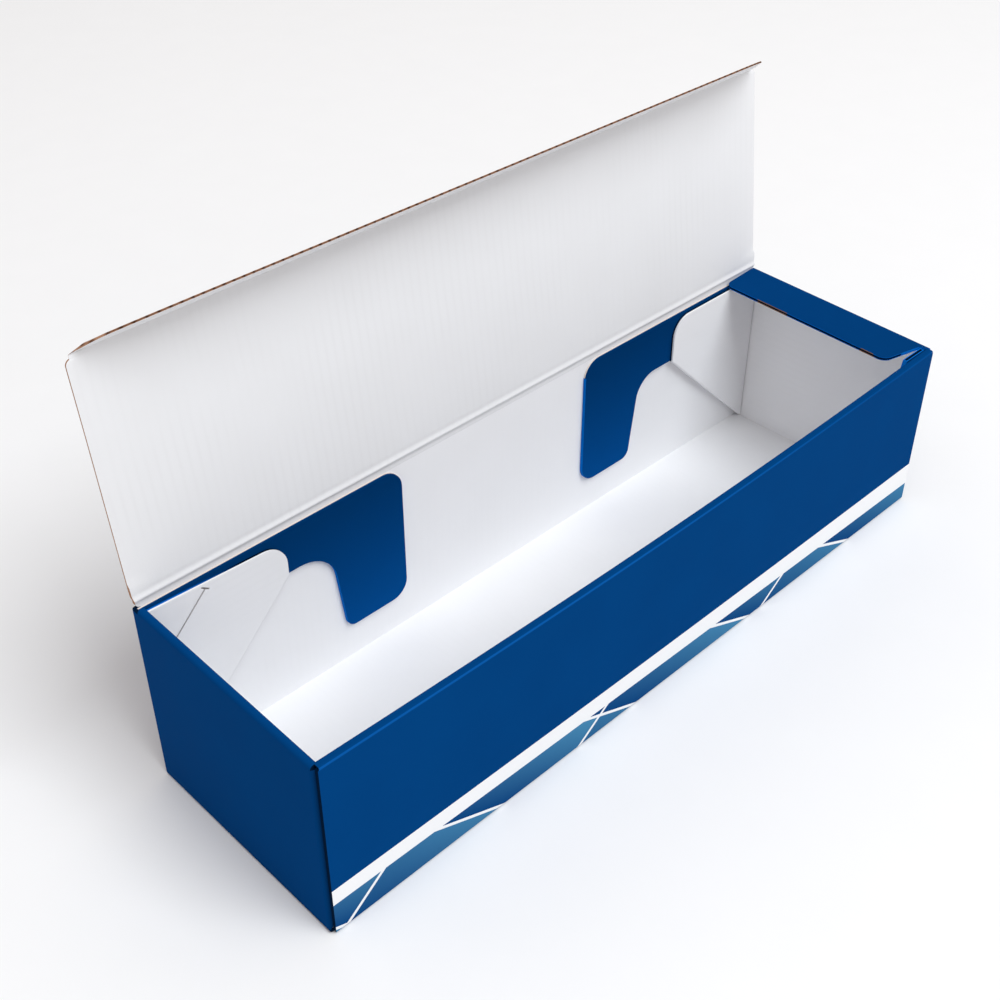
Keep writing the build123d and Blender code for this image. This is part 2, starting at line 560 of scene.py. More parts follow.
def start_row(name, columns, along):
    """Lay a row of points one metre long, and stay in edit mode with it selected."""
    bpy.ops.mesh.primitive_grid_add(x_subdivisions=columns, y_subdivisions=1, size=1.0)
    piece = take_piece(name)
    edit_mode()
    select_only(piece, "VERT", lambda point: point.co.y > 0)
    bpy.ops.mesh.delete(type="VERT")
    bpy.ops.mesh.select_all(action="SELECT")
    bpy.ops.transform.translate(value=(0, 0.5, 0))
    if along == "Y":
        bpy.ops.transform.rotate(value=math.pi / 2, orient_axis="Z", center_override=(0, 0, 0))
    return piece


def extrude_by(step):
    """Extrude what is selected, and move the new points by a step."""
    bpy.ops.mesh.extrude_region_move(TRANSFORM_OT_translate={"value": step})


def row_middle(along, row):
    """Give the middle of a row, written as its low end, high end, and place across and up."""
    low, high, across, up = row
    middle = (low + high) / 2
    return Vector((middle, across, up)) if along == "X" else Vector((across, middle, up))


def stretch_row(along, factor, middle):
    """Stretch the selected row along its own length."""
    value = (factor, 1, 1) if along == "X" else (1, factor, 1)
    bpy.ops.transform.resize(value=value, center_override=middle)


def lay_sheet(name, columns, along, rows):
    """Extrude a row of points from one place on the folded sheet to the next."""
    piece = start_row(name, columns, along)
    length = rows[0][1] - rows[0][0]
    place = row_middle(along, rows[0])
    stretch_row(along, length, (0, 0, 0))
    bpy.ops.transform.translate(value=place)
    for row in rows[1:]:
        next_place = row_middle(along, row)
        next_length = row[1] - row[0]
        extrude_by(next_place - place)
        stretch_row(along, next_length / length, next_place)
        place = next_place
        length = next_length
    object_mode()
    return piece


def rows_along(steps, half_at, place_at):
    """Write the rows of a sheet from its half length and its place at each step."""
    return [(-half_at(along), half_at(along), *place_at(along, board / 2)) for along in steps]


def add_board(piece, near, outward, finishes, thickness=board):
    """Turn the print outward, give the sheet its thickness behind it, and smooth its bends."""
    bpy.ops.object.select_all(action="DESELECT")
    piece.select_set(True)
    bpy.context.view_layer.objects.active = piece
    near = Vector(near)
    face = min(piece.data.polygons, key=lambda polygon: (polygon.center - near).length)
    if face.normal.dot(Vector(outward)) < 0:
        edit_mode()
        bpy.ops.mesh.select_all(action="SELECT")
        bpy.ops.mesh.flip_normals()
        object_mode()
    for finish in finishes:
        piece.data.materials.append(finish)
    solid = piece.modifiers.new("board", "SOLIDIFY")
    solid.thickness = thickness
    solid.offset = -1
    solid.use_even_offset = True
    solid.material_offset = liner_side
    solid.material_offset_rim = cut_side
    bpy.ops.object.modifier_apply(modifier=solid.name)
    bpy.ops.object.shade_smooth_by_angle(angle=smooth_angle)


def add_finish(piece, finish):
    """Give a piece one more finish, and say its place in the piece's list."""
    piece.data.materials.append(finish)
    return len(piece.data.materials) - 1


def refinish(piece, old, new, wanted):
    """Give another finish to the faces of one finish that pass a test."""
    for face in piece.data.polygons:
        if face.material_index == old and wanted(face):
            face.material_index = new


def open_edge(piece, paper, depth, core):
    """Leave the papers standing round the selected faces, and push the core between them in."""
    bpy.ops.mesh.inset(thickness=paper, depth=0)
    piece.active_material_index = core
    bpy.ops.object.material_slot_assign()
    bpy.ops.mesh.inset(thickness=core_wall, depth=-depth)
    object_mode()


def finish_piece(piece, node):
    """Hide the solid the piece stands for, and report the piece's faces."""
    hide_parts(node)
    print(piece.name, len(piece.data.polygons), "faces")


print("each sheet gets a board of", board)

# %% [markdown]
# ## The tray: floor, rear wall and end walls
#
# A floor with three walls is modelled as it is folded: a plane for the floor, its three edges extruded up,
# and every fold bevelled to the board's bend. The front edges of the end walls turn in round the corner as
# short returns, and lower down as the tabs glued behind the front wall.

# %% Fold the tray
floor_front = bend_radius - half_width
return_depth = 0.0019
tab_low = 0.003
tab_high = 0.052
tab_reach = 0.040
tab_taper = 0.86
near_zero = 0.00005
faces_one_way = 0.8


def select_edges(piece, wanted):
    """Select only the edges whose two ends pass a test."""
    select_only(piece, "EDGE", lambda edge: wanted(edge.verts[0].co, edge.verts[1].co))


def both_at(first, second, axis, value):
    """Tell whether both ends of an edge lie at this value on one axis."""
    return abs(first[axis] - value) < near_zero and abs(second[axis] - value) < near_zero


def at_free_front(a, b):
    """Tell whether an edge is at the front of an end wall, above the floor's bend."""
    return both_at(a, b, 1, floor_front) and min(a.z, b.z) > tab_low - near_zero


bpy.ops.mesh.primitive_plane_add(size=1.0)
tray = take_piece("tray_sheet")
edit_mode()
bpy.ops.transform.resize(value=(2 * half_length, half_width - floor_front, 1))
bpy.ops.transform.translate(value=(0, (half_width + floor_front) / 2, 0))
select_edges(tray, lambda a, b: not both_at(a, b, 1, floor_front))
extrude_by((0, 0, end_height))
for level in (tab_low, tab_high):
    split_at((0, 0, level), (0, 0, 1))
for side in (-1, 1):
    corner = side * half_length
    select_edges(tray, lambda a, b: both_at(a, b, 0, corner) and at_free_front(a, b))
    extrude_by((-side * return_depth, 0, 0))
    turned = corner - side * return_depth
    select_edges(tray, lambda a, b: both_at(a, b, 0, turned) and max(a.z, b.z) < tab_high + near_zero)
    extrude_by((-side * tab_reach, 0, 0))
    bpy.ops.transform.resize(value=(1, 1, tab_taper), center_override=(0, 0, (tab_low + tab_high) / 2))


def is_fold(a, b):
    """Tell whether an edge of the tray is one of its folds."""
    at_rear = both_at(a, b, 1, half_width)
    at_end = abs(abs(a.x) - half_length) + abs(abs(b.x) - half_length) < near_zero
    if both_at(a, b, 2, 0.0):
        return at_rear or at_end
    upright = abs(a.x - b.x) < near_zero and abs(abs(a.x) - half_length) < near_zero
    return upright and (at_rear or at_free_front(a, b))


select_edges(tray, is_fold)
bpy.ops.mesh.bevel(offset=bend_radius, segments=6, affect="EDGES", profile=0.5)
sheet = bmesh.from_edit_mesh(tray.data)
for point in sheet.verts:
    if point.co.z > end_height - near_zero:
        point.co.z += end_slope(point.co.y)
bmesh.update_edit_mesh(tray.data)
object_mode()
# The tray's cut edges take the near black edge, as painted shade.
add_board(tray, (0, 0, 0), (0, 0, -1), (tray_print, white_liner, painted_shade_edge))
end_finish = add_finish(tray, white_liner_ends)
floor_finish = add_finish(tray, white_liner_floor_shaded)
refinish(tray, liner_side, end_finish, lambda face: abs(face.normal.x) > faces_one_way)
refinish(tray, liner_side, floor_finish, lambda face: face.normal.z > faces_one_way)
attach(tray, "tray")
finish_piece(tray, "tray")

# %% [markdown]
# ## The front wall, rolled over at its top
#
# The front wall comes up from the floor, turns over a double crease and goes down again inside as a glued
# hem, so its rim is two boards thick and blue on both sides. Two creases close together leave a narrow flat
# rim with a crisp outer line, which is where the light catches. The rim bows out between the corners, so
# the straight piece is bent by a sine at the end.

# %% Fold the front wall
front_reach = 0.1736
low_corner = 0.0006
hem_reach = 0.1731
hem_depth = 0.030
hem_slack = 0.00005
rim_radius = 0.0007
rim_step = 0.0006
front_bow = 0.0028
hem_face = 2 * board - half_width
rim_turn = front_height - rim_radius
wall_steps = (0.020, 0.040, 0.060, 0.078)
hem_steps = (0.076, 0.066, front_height - hem_depth)
quarter = [math.radians(15 * step) for step in range(1, 7)]

front_rows = []
for angle in [0.0] + quarter:
    y = floor_front - bend_radius * math.sin(angle)
    z = bend_radius - bend_radius * math.cos(angle)
    reach = front_reach - low_corner * (1 - math.sin(angle))
    front_rows.append((-reach, reach, y, z))
for z in (*wall_steps, rim_turn - rim_step):
    front_rows.append((-front_reach, front_reach, -half_width, z))
front_rows.append((-hem_reach, hem_reach, -half_width, rim_turn))
for angle in quarter:
    y = rim_radius - half_width - rim_radius * math.cos(angle)
    z = rim_turn + rim_radius * math.sin(angle)
    front_rows.append((-hem_reach, hem_reach, y, z))
for angle in [0.0] + quarter:
    y = hem_face - rim_radius + rim_radius * math.sin(angle)
    z = rim_turn + rim_radius * math.cos(angle)
    front_rows.append((-hem_reach, hem_reach, y, z))
for z in hem_steps:
    front_rows.append((-hem_reach, hem_reach, hem_face, z))

front = lay_sheet("front_wall", 48, "X", front_rows)
front_middle = (0, -half_width, front_height / 2)
# The front wall's cut edges take the near black edge, as painted shade.
add_board(front, front_middle, (0, -1, 0), (front_print, white_liner, painted_shade_edge), board - hem_slack)
for point in front.data.vertices:
    along_share = (point.co.x + half_length) / (2 * half_length)
    point.co.y -= front_bow * math.sin(math.pi * along_share) * max(point.co.z, 0.0) / front_height
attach(front, "tray")
finish_piece(front, "tray")

# %% [markdown]
# ## The web gussets and their arms
#
# In each rear corner the sheet is folded back on itself: a white web flap lies in front, and behind it the
# board shows its blue side and runs on as an arm with a hanging leg, which steadies the bottle. Each is a
# flat panel, so it is cut like one: an n-gon with a point at each corner, whose corners are then rounded
# by bevelling points. The arms' blue is deep at the top and brightens towards the foot.

# %% Helpers that cut a flat panel
corner_segments = 10


def cut_panel(name, depth, side, corners):
    """Make a flat upright panel on one side, from corners given along the box and up."""
    bpy.ops.mesh.primitive_circle_add(vertices=len(corners), radius=half_width, fill_type="NGON")
    piece = take_piece(name)
    edit_mode()
    sheet = bmesh.from_edit_mesh(piece.data)
    for point, (x, z) in zip(sheet.verts, corners):
        point.co = (side * x, depth, z)
    bmesh.update_edit_mesh(piece.data)
    return piece


def round_corner(piece, x, z, radius):
    """Round the panel's corner nearest to a place."""
    bpy.ops.mesh.select_mode(type="VERT")
    bpy.ops.mesh.select_all(action="DESELECT")
    sheet = bmesh.from_edit_mesh(piece.data)
    corner = min(sheet.verts, key=lambda point: (point.co.x - x) ** 2 + (point.co.z - z) ** 2)
    sides = [edge.other_vert(corner).co - corner.co for edge in corner.link_edges]
    reach = radius / math.tan(sides[0].angle(sides[1]) / 2)
    corner.select = True
    sheet.select_flush_mode()
    bmesh.update_edit_mesh(piece.data)
    bpy.ops.mesh.bevel(offset=reach, segments=corner_segments, affect="VERTICES", profile=0.5)


print("corners are rounded in", corner_segments, "steps")

# %% Finish of the arms
arm_top_blue = (0.0005, 0.036, 0.138)
arm_foot_blue = (0.0010, 0.066, 0.262)
arm_fall = (0.080, 0.018)

arm_print, tree, shader, place = new_finish("arm_print")
fall = share_between(tree, split_place(tree, place)["Z"], *arm_fall)
dress_print(tree, shader, place, blend_colours(tree, fall, arm_top_blue, arm_foot_blue))
print("finish", arm_print.name)

# %% Cut the arms and the web flaps
web_end = 0.1122
left_low = 0.0640
right_low = 0.0606
arm_height = 0.0843
leg_outer = 0.0907
leg_inner = 0.0537
foot_outer = 0.0852
foot_height = 0.0191
arm_corner = 0.009
foot_inner_corner = 0.008
foot_outer_corner = 0.0045
left_hollow = 0.017
right_hollow = 0.012
layer_gap = 0.00008
arm_face = half_width - 2 * board - layer_gap
web_face = half_width - 3 * board - 2 * layer_gap
web_gap = 0.0005
web_round = 0.0006
web_corner = 0.010
web_rim = 0.0008
left_web_tops = (0.0834, 0.0805)
right_web_tops = (0.0832, 0.0830)
cream_width = 0.0008
cream_rim = half_width - board - cream_width
faces_upward = 0.2
faces_downward = -0.5
same_line = 0.999


def cut_arm(name, side, low, hollow):
    """Cut one arm: a strip along the rear wall with a leg hanging from its inner end."""
    corners = (
        (inner_length, board),
        (web_end, low),
        (leg_outer, low),
        (foot_outer, foot_height),
        (leg_inner, foot_height),
        (leg_inner, arm_height),
        (inner_length, arm_height),
    )
    arm = cut_panel(name, arm_face, side, corners)
    round_corner(arm, side * leg_inner, arm_height, arm_corner)
    round_corner(arm, side * leg_inner, foot_height, foot_inner_corner)
    round_corner(arm, side * foot_outer, foot_height, foot_outer_corner)
    round_corner(arm, side * leg_outer, low, hollow)
    object_mode()
    add_board(arm, (0, arm_face, 0), (0, -1, 0), (arm_print, white_liner, inked_edge))
    edit_mode()
    split_at((0, cream_rim, 0), (0, 1, 0))
    object_mode()
    cream = add_finish(arm, pale_edge)
    refinish(arm, cut_side, cream, lambda face: face.normal.z > faces_upward and face.center.y > cream_rim)
    refinish(arm, cut_side, print_side, lambda face: face.normal.z > faces_upward)
    refinish(arm, cut_side, liner_side, lambda face: abs(face.center.x) > web_end)
    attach(arm, "tray")
    finish_piece(arm, "tray")


def cut_web(name, side, low, top_end, top_free, rear_rim):
    """Cut one web flap: white inside, with a thin rim where the liner rolls over the cut."""
    root = inner_length - web_gap
    corners = ((root, board), (web_end, low), (web_end, top_free), (root, top_end))
    web = cut_panel(name, web_face, side, corners)
    round_corner(web, side * web_end, top_free, web_corner)
    object_mode()
    add_board(web, (0, web_face, 0), (0, -1, 0), (white_liner_ends, blue_print, rear_rim))
    edit_mode()
    foot_line = Vector((side * (web_end - inner_length), 0, low - board)).normalized()

    def on_foot(a, b):
        """Tell whether an edge is the front edge of the slanting foot."""
        return both_at(a, b, 1, web_face) and abs((a - b).normalized().dot(foot_line)) > same_line

    select_edges(web, on_foot)
    bpy.ops.mesh.bevel(offset=web_round, segments=4, affect="EDGES", profile=0.5)
    split_at((0, web_face + web_rim, 0), (0, 1, 0))
    object_mode()
    refinish(web, cut_side, print_side, lambda face: face.normal.z < faces_downward)
    refinish(web, cut_side, print_side, lambda face: face.center.y < web_face + web_rim)
    return web


# The left web flap's rim darkens into painted shade towards the middle.
left_web = cut_web("left_web_flap", -1, left_low, *left_web_tops, inked_to_shade_edge)
# The right web flap's rim takes the near black edge, as painted shade.
right_web = cut_web("right_web_flap", 1, right_low, *right_web_tops, painted_shade_edge)
cut_arm("left_arm", -1, left_low, left_hollow)
cut_arm("right_arm", 1, right_low, right_hollow)

# %% [markdown]
# ### The slit in the left web flap
#
# The die leaves a short slanting slit with a nick at its top. A real cut is as thin as the blade, so it is
# taken out by a thin box with the Boolean modifier, which also hands its grey finish to the cut faces. That
# grey is painted shade inside the narrow cut.

# %% Press the slit into the left web flap
slit_top = Vector((-0.1480, web_face, 0.0800))
slit_foot = Vector((-0.1640, web_face, 0.0640))
slit_nick = Vector((0.0016, 0, -0.0011))
slit_width = 0.0007
slit_depth = 0.0014


def press_line(piece, first, second):
    """Press a straight, narrow line into a panel's front."""
    line = second - first
    bpy.ops.mesh.primitive_cube_add(
        size=1.0,
        location=(first + second) / 2,
        rotation=(0, math.atan2(line.x, line.z), 0),
        scale=(slit_width, 2 * slit_depth, line.length),
    )
    cutter = bpy.context.object
    cutter.data.materials.append(slit_edge)
    slit = piece.modifiers.new("slit", "BOOLEAN")
    slit.object = cutter
    slit.operation = "DIFFERENCE"
    slit.solver = "EXACT"
    slit.material_mode = "TRANSFER"
    bpy.context.view_layer.objects.active = piece
    bpy.ops.object.modifier_apply(modifier=slit.name)
    bpy.data.objects.remove(cutter)


press_line(left_web, slit_top, slit_foot)
press_line(left_web, slit_top - slit_nick, slit_top + slit_nick)
for web in (left_web, right_web):
    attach(web, "tray")
    finish_piece(web, "tray")

# %% [markdown]
# ## The return in the front corner
#
# In the right front corner the end wall's glued return shows its top edge beside the hem: two printed
# papers with the core between them, painted dark as painted shade. It is a short upright board with a
# slanting end, whose top is inset and pushed in.

# %% Cut the corner return
return_root = 0.1712
return_tip = 0.1575
return_foot_tip = 0.1530
return_foot = 0.066
return_drop = 0.0002
return_gap = 0.0005
return_board = 0.0020
return_paper = 0.0004
return_groove = 0.0008
return_top = front_height - return_drop
return_face = hem_face + board + return_gap

return_corners = (
    (return_root, return_foot),
    (return_foot_tip, return_foot),
    (return_tip, return_top),
    (return_root, return_top),
)
corner_return = cut_panel("right_corner_return", return_face, 1, return_corners)
object_mode()
return_finishes = (white_liner, blue_print, inked_edge)
add_board(corner_return, (return_tip, return_face, return_foot), (0, 1, 0), return_finishes, return_board)
edit_mode()
select_only(corner_return, "FACE", lambda face: face.normal.z > faces_one_way)
# The pushed-in core takes the near black edge, as painted shade.
open_edge(corner_return, return_paper, return_groove, add_finish(corner_return, painted_shade_edge))
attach(corner_return, "tray")
finish_piece(corner_return, "tray")

# %% [markdown]
# ## The lid and its hinge
#
# The lid is hinged by a crease in the same board, so the piece starts on the rear wall and goes on up the
# lid. The crease stands up inside as a bright bead with a soft hollow on each side, so the rows lie close
# together there. The lid's side edges are crushed thin, and its bruised left corner has sunk a little.

# %% Fold the lid
lid_reach = 0.1744
hinge_reach = 0.1738
band_corner = 0.0022
hinge_bend = 0.0016
top_gap = 0.0015
lid_top = lid_depth - top_gap
top_corner = 0.0016
nip_start = 0.0005
nip_height = 0.006
rear_top = end_height + end_rise
fold_step = 0.00028


def lid_half(along):
    """Half the lid's length at this distance from the hinge."""
    nip = min(max((along + nip_start) / nip_height, 0.0), 1.0)
    half = hinge_reach + (lid_reach - hinge_reach) * math.sqrt(1 - (1 - nip) ** 2)
    over = max(along - (lid_top - top_corner), 0.0)
    under = max(rear_top - hinge_height + band_corner - along, 0.0)
    top_nip = top_corner - math.sqrt(max(top_corner**2 - over**2, 0.0))
    band_nip = band_corner - math.sqrt(max(band_corner**2 - under**2, 0.0))
    return half - top_nip - band_nip


def lid_place(along, proud):
    """Place across and up of a point, from its distance to the hinge and to the board's middle."""
    lean = lid_lean * smooth_share((along + hinge_bend) / (2 * hinge_bend))
    y = hinge_y + along * math.sin(lean) + proud * math.cos(lean)
    z = hinge_height + along * math.cos(lean) - proud * math.sin(lean)
    return y, z


fold_steps = [rear_top - hinge_height + fold_step * step for step in range(26)]
open_steps = [0.0045, 0.0055, 0.007, 0.010, 0.020, 0.035, 0.050, 0.065, 0.080, 0.088]
top_steps = [lid_top - top_corner * (1 - share) for share in (0.0, 0.35, 0.6, 0.8, 0.93, 1.0)]
lid_rows = rows_along(fold_steps + open_steps + top_steps, lid_half, lid_place)
lid = lay_sheet("lid_panel", 64, "X", lid_rows)
lid_middle = (0, *lid_place(lid_depth / 2, 0))
add_board(lid, lid_middle, (0, 1, 0), (blue_print, white_liner_lid_shaded, kraft_edge))
print(lid.name, "laid in", len(lid_rows), "rows")

# %% Press the crease and bruise the lid
crease_reach = 0.0036
bead_height = 0.00048
bead_width = 0.00085
hollow_depth = 0.00010
hollow_offset = 0.0021
score_depth = 0.0003
score_width = 0.0006
side_band = 0.0003
side_crush = 0.00088
corner_sink = 0.0017
sink_reach = 0.011
sink_height = 0.030


def bump_at(along, width):
    """Give the share of a rounded bump at this distance from its middle."""
    return math.exp(-((along / width) ** 2))


def sunk(x, along):
    """How far the lid's bruised left corner has sunk at this place."""
    beside = min(max((sink_reach - lid_reach - x) / sink_reach, 0.0), 1.0)
    return corner_sink * beside**2 * smooth_share((along - lid_top + sink_height) / sink_height)


for point in lid.data.vertices:
    along = (point.co.z - hinge_height) / math.cos(lid_lean)
    inside = point.co.y < lid_place(along, 0.0)[0]
    if abs(along) < crease_reach and inside:
        bead = bead_height * bump_at(along, bead_width)
        for offset in (-hollow_offset, hollow_offset):
            bead -= hollow_depth * bump_at(along - offset, bead_width)
        point.co.y -= bead
    elif abs(along) < crease_reach:
        point.co.y -= score_depth * bump_at(along, score_width)
    at_side = abs(point.co.x) > lid_half(along) - side_band and along > nip_height
    if at_side and inside:
        point.co.y += side_crush * math.cos(lid_lean)
        point.co.z -= side_crush * math.sin(lid_lean)
    point.co.z -= sunk(point.co.x, along)
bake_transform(lid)
finish_piece(lid, "lid")

# %% [markdown]
# ## The tuck flap
#
# The flap along the lid's free edge is folded well forward, so the camera looks along it and sees its cut
# edge. Its outline runs on from the lid's round corners, and at both ends the board is crushed and the
# print is rubbed off. The cut edge crosses the flutes, so it is inset and pushed in to leave the two papers
# standing, with room for the core between them.

# %% Fold the tuck flap
tuck_half = lid_reach - top_corner
tuck_depth = 0.022
tuck_corner = 0.036
end_nip = 0.0021
end_nip_reach = 0.0015
tuck_bend = 0.0011
bend_step = 0.00022
tuck_fold = math.radians(63.5)
tuck_y = hinge_y + lid_depth * math.sin(lid_lean)
tuck_z = hinge_height + lid_depth * math.cos(lid_lean)


def tuck_half_at(along):
    """Half the flap's length at this distance from its crease."""
    share = min(max(along, 0.0) / tuck_depth, 1.0)
    nip = end_nip * smooth_share(along / end_nip_reach)
    return tuck_half - nip - tuck_corner + tuck_corner * math.sqrt(1 - share**2)


def tuck_edge_at(x):
    """How far the flap reaches from its crease at this place along it."""
    straight = tuck_half - end_nip - tuck_corner
    share = min(max(abs(x) - straight, 0.0) / tuck_corner, 1.0)
    return tuck_depth * math.sqrt(1 - share**2)


def tuck_place(along, proud):
    """Place across and up of a point on the flap."""
    lean = lid_lean - tuck_fold * smooth_share((along + tuck_bend) / (2 * tuck_bend))
    y = tuck_y + along * math.sin(lean) + proud * math.cos(lean)
    z = tuck_z + along * math.cos(lean) - proud * math.sin(lean)
    return y, z


crease_steps = [lid_top - lid_depth] + [bend_step * step - tuck_bend for step in range(11)]
corner_steps = [tuck_depth * math.sin(math.radians(6 * step)) for step in range(1, 16)]
tuck_steps = crease_steps + corner_steps
tuck_rows = rows_along(tuck_steps, tuck_half_at, tuck_place)
tuck = lay_sheet("tuck_panel", 64, "X", tuck_rows)
tuck_middle = (0, *tuck_place(tuck_depth / 2, 0))
add_board(tuck, tuck_middle, (0, 0, 1), (blue_print, white_liner_lid_shaded, kraft_edge))
print(tuck.name, "laid in", len(tuck_rows), "rows")

# %% Crush the tuck flap's edge and open it
crush_reach = 0.0026
crush_keep = 0.45
taper_reach = 0.012
taper_share = 0.85
bare_corner = 0.0075
paper_edge = 0.00014
groove = 0.0006
open_from = 0.6 * tuck_depth
tuck_lean = lid_lean - tuck_fold
sheet_points = len(tuck.data.vertices) // 2
for index in range(sheet_points):
    printed = tuck.data.vertices[index].co
    lined = tuck.data.vertices[index + sheet_points].co
    row = min(range(len(tuck_rows)), key=lambda r: (Vector(tuck_rows[r][2:]) - printed.yz).length)
    along = tuck_steps[row]
    gap_ahead = tuck_edge_at(printed.x) - along
    gap_beside = tuck_half_at(along) - abs(printed.x)
    gap = max(min(gap_ahead, gap_beside), 0.0)
    press = (1 - crush_keep) * smooth_share(1 - gap / crush_reach)
    crushed = lined.lerp(printed, press)
    taper = smooth_share(1 - gap_beside / crush_reach) * smooth_share(1 - along / taper_reach)
    tuck.data.vertices[index + sheet_points].co = crushed
    tuck.data.vertices[index].co = printed.lerp(crushed, taper_share * taper)


def at_bare_corner(face):
    """Tell whether a face is at one of the flap's rubbed ends, past its crease."""
    return abs(face.center.x) > tuck_half - bare_corner and face.center.z > tuck_z


refinish(tuck, print_side, cut_side, at_bare_corner)
for point in tuck.data.vertices:
    point.co.z -= sunk(point.co.x, lid_top)


def on_free_edge(face):
    """Tell whether a cut face is on the flap's free edge."""
    past = (face.calc_center_median().z - tuck_z) / math.cos(tuck_lean)
    return face.material_index == cut_side and past > open_from


edit_mode()
select_only(tuck, "FACE", on_free_edge)
open_edge(tuck, paper_edge, groove, cut_side)
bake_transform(tuck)
finish_piece(tuck, "tuck_flap")

# %% [markdown]
# ### The wavy core
#
# Between the two papers of a corrugated board runs a third one in waves, and the flap's cut edge shows it
# end on. One narrow grid is laid in the groove, with each point moved by a sine of its place along the
# edge. That costs few faces, and it holds up from near by, where a texture alone would look flat.

# %% Lay the wavy core in the cut edge
wave_reach = tuck_half - 0.4 * tuck_corner
points_per_wave = 8
wave_columns = int(2 * wave_reach / flute_pitch) * points_per_wave
wave_height = 0.00019
wave_middle = board / 2 - board * crush_keep / 2
core_sink = 0.00008
core_paper = 0.00010
core_smooth_angle = math.radians(50)
bpy.ops.mesh.primitive_grid_add(x_subdivisions=wave_columns, y_subdivisions=1, size=2 * wave_reach)
core = take_piece("tuck_fluting")
for point in core.data.vertices:
    outer_row = point.co.y > 0
    depth = core_sink if outer_row else groove
    proud = wave_middle + wave_height * math.sin(2 * math.pi * point.co.x / flute_pitch)
    y, z = tuck_place(tuck_edge_at(point.co.x) - depth, proud)
    point.co = (point.co.x, y, z)
core.data.materials.append(kraft_edge)
solid = core.modifiers.new("core", "SOLIDIFY")
solid.thickness = core_paper
solid.offset = 0
bpy.ops.object.modifier_apply(modifier=solid.name)
bpy.ops.object.shade_smooth_by_angle(angle=core_smooth_angle)
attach(core, "tuck_flap")
finish_piece(core, "tuck_flap")

# %% [markdown]
# ## The end flaps
#
# Each end wall carries a flap. The right one is folded over level, and the left one is folded right down
# inside, so only its rounded fold shows as the rim of that end. A fold is a quarter or half turn about the
# hinge. Both folds slope with the end walls, so the sheet is laid level and then raised by the slope.

# %% Outlines of the end flaps
fold_front = -0.0488
fold_narrow = 0.0022
flap_top = flap_axis_height + bend_radius
right_outline = {
    "depth": 0.0220,
    "corner": 0.0035,
    "front": -0.0454,
    "front_slant": 0.24,
    "rear": 0.0494,
    "rear_slant": 0.05,
    "fold_rear": 0.0492,
}
left_outline = {
    "depth": 0.0255,
    "corner": 0.0050,
    "front": -0.0442,
    "front_slant": 0.22,
    "rear": 0.0448,
    "rear_slant": 0.0,
    "fold_rear": 0.0466,
}


def flap_ends(outline, along):
    """Front and rear ends of a flap at this distance from its fold."""
    corner = outline["corner"]
    over = max(along - (outline["depth"] - corner), 0.0)
    inset = corner - math.sqrt(max(corner**2 - over**2, 0.0))
    wide = 1 - smooth_share(along / fold_narrow)
    front = outline["front"] + outline["front_slant"] * along + inset
    rear = outline["rear"] - outline["rear_slant"] * along - inset
    front += wide * (fold_front - outline["front"])
    rear += wide * (outline["fold_rear"] - outline["rear"])
    return front, rear


def flap_steps(outline):
    """Distances of a flap's rows from its fold, close together where its outline turns."""
    straight = [0.0004, 0.0008, 0.0012, 0.0016, fold_narrow, 0.006, 0.012, 0.017]
    turns = [1 - math.sin(math.radians(10 * step)) for step in range(0, 10)]
    return straight + [outline["depth"] - outline["corner"] * turn for turn in turns]


def fold_rows(outline, side, turns):
    """Rows from the end wall's top round the fold, turned nine degrees at a time."""
    ends = flap_ends(outline, 0)
    rows = [(*ends, side * half_length, end_height)]
    for step in range(turns + 1):
        angle = math.radians(9 * step)
        x = side * (flap_axis_reach + bend_radius * math.cos(angle))
        rows.append((*ends, x, flap_axis_height + bend_radius * math.sin(angle)))
    return rows


def lay_flap(name, rows, middle, outward, finishes):
    """Lay a flap level, raise it by the slope of the end walls, and give it its board."""
    flap = lay_sheet(name, 24, "Y", rows)
    for point in flap.data.vertices:
        point.co.z += end_slope(point.co.y)
    add_board(flap, middle, outward, finishes)
    return flap


print("flaps reach", right_outline["depth"], "on the right and", left_outline["depth"], "on the left")

# %% Fold the right end flap
flap_paper = 0.00036
flap_groove = 0.0010
half_reach = right_outline["depth"] / 2
right_rows = fold_rows(right_outline, 1, turns=10)
for along in flap_steps(right_outline):
    right_rows.append((*flap_ends(right_outline, along), flap_axis_reach - along, flap_top))
right_middle = (inner_length - half_reach, 0, flap_top)
right_finishes = (shaded_flap_print, white_liner, inked_edge)
right_flap = lay_flap("right_flap_panel", right_rows, right_middle, (0, 0, 1), right_finishes)


def beyond_middle(face):
    """Tell whether a cut face is on the half of the flap away from its fold."""
    return face.material_index == cut_side and face.calc_center_median().x < inner_length - half_reach


edit_mode()
select_only(right_flap, "FACE", beyond_middle)
# The pushed-in core takes the near black edge, as painted shade, and the papers take the worn edge.
core_shade_finish = add_finish(right_flap, painted_shade_edge)
right_flap.active_material_index = add_finish(right_flap, worn_edge)
bpy.ops.object.material_slot_assign()
open_edge(right_flap, flap_paper, flap_groove, core_shade_finish)
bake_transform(right_flap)
finish_piece(right_flap, "right_end_flap")

# %% Fold the left end flap
left_face = bend_radius - flap_axis_reach
faces_front = -0.5
left_rows = fold_rows(left_outline, -1, turns=20)
for along in flap_steps(left_outline):
    left_rows.append((*flap_ends(left_outline, along), left_face, flap_axis_height - along))
left_middle = (left_face, 0, flap_axis_height - left_outline["depth"] / 2)
left_finishes = (blue_print, white_liner, inked_edge)
left_flap = lay_flap("left_flap_panel", left_rows, left_middle, (1, 0, 0), left_finishes)
# The front end of the flap's cut edge is painted near black, as painted shade.
shaded = add_finish(left_flap, painted_shade_edge)
refinish(left_flap, cut_side, shaded, lambda face: face.normal.y < faces_front)
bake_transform(left_flap)
finish_piece(left_flap, "left_end_flap")

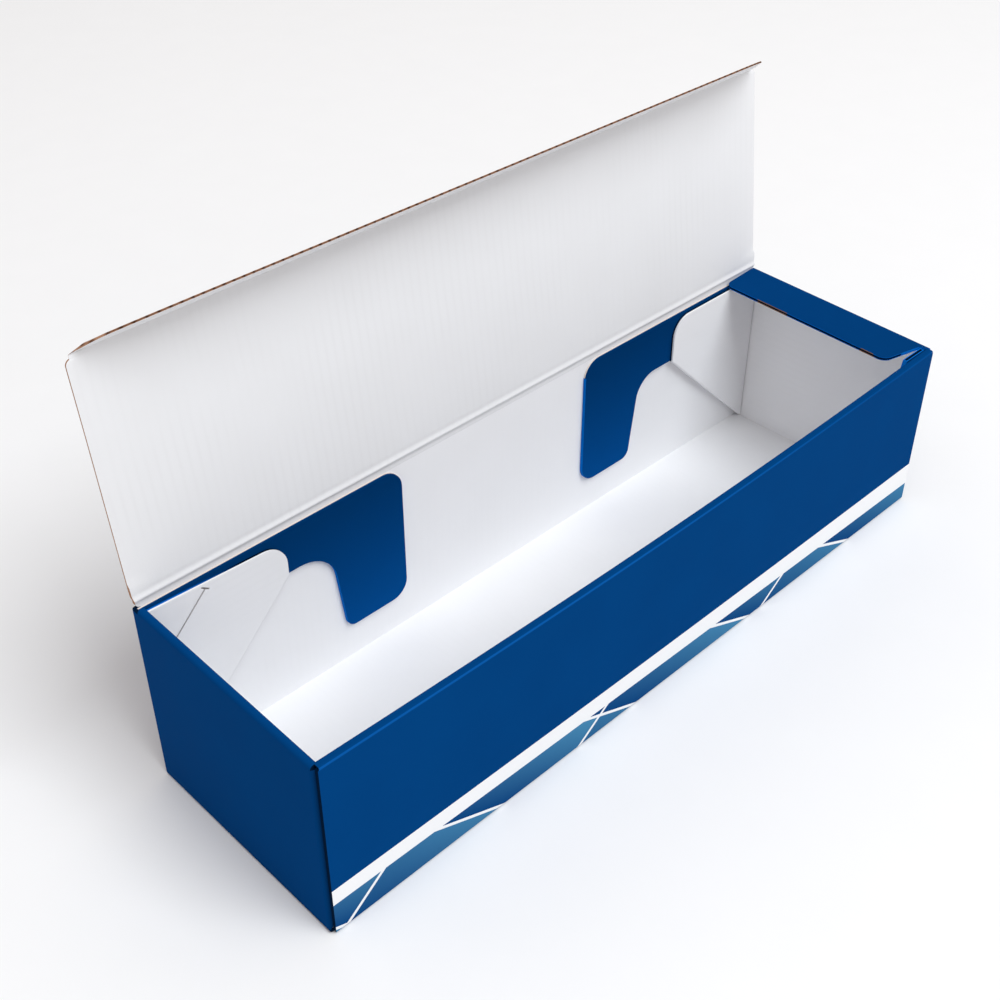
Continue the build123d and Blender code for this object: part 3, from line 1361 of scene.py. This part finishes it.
# %% [markdown]
# ## Floor, light and camera
#
# The box stands on a plain pale floor under soft studio light: one large lamp high in front, and a bright
# surrounding. So the floor inside is brightest, the left end is darkest, and the tuck flap throws a soft
# shadow on the lid. The camera's place and lens come from lining up the box's corners with the photograph.

# %% Floor
floor_size = 8.0
floor_grey = (0.90, 0.90, 0.90)
floor_light_grey = (0.92, 0.92, 0.92)
bpy.ops.mesh.primitive_plane_add(size=floor_size)
floor = bpy.context.object
floor.name = "studio_floor"
floor_paint, tree, shader, place = new_finish("studio_floor")
floor_colour = cloudy_colour(tree, place, floor_grey, floor_light_grey)
set_surface(tree, shader, floor_colour, rough=0.9, sheen=paper_sheen)
floor.data.materials.append(floor_paint)
print(floor.name, floor_size, "across")

# %% Light
key_place = Vector((0.30, -1.95, 3.30))
key_target = Vector((0, 0, 0.05))
key_size = 2.4
key_power = 112.0
key_colour = (0.91, 0.96, 1.0)
surround_colour = (1.0, 0.945, 0.92, 1.0)
surround_strength = 0.58
bpy.ops.object.light_add(type="AREA", location=key_place)
key_lamp = bpy.context.object
key_lamp.name = "key_lamp"
key_lamp.data.size = key_size
key_lamp.data.energy = key_power
key_lamp.data.color = key_colour
key_lamp.rotation_euler = (key_target - key_place).to_track_quat("-Z", "Y").to_euler()
world = bpy.data.worlds.new("studio")
bpy.context.scene.world = world
world.use_nodes = True
surround = world.node_tree.nodes["Background"]
surround.inputs["Color"].default_value = surround_colour
surround.inputs["Strength"].default_value = surround_strength
bpy.context.scene.view_settings.view_transform = "Standard"
print(key_lamp.name, "view transform", bpy.context.scene.view_settings.view_transform)

# %% Camera
camera_place = (-0.33616, -0.29753, 0.41262)
camera_turn = math.radians(-44.343)
camera_tilt = math.radians(90 - 36.746)
lens_length = 50.53
sensor_width = 36.0
shift_across = -0.0009
shift_up = -0.0260
nearest_seen = 0.01
bpy.ops.object.camera_add(location=camera_place, rotation=(camera_tilt, 0, camera_turn))
camera = bpy.context.object
camera.name = "photo_camera"
camera.data.sensor_width = sensor_width
camera.data.lens = lens_length
camera.data.shift_x = shift_across
camera.data.shift_y = shift_up
camera.data.clip_start = nearest_seen
bpy.context.scene.camera = camera
print(camera.name, "lens", lens_length)
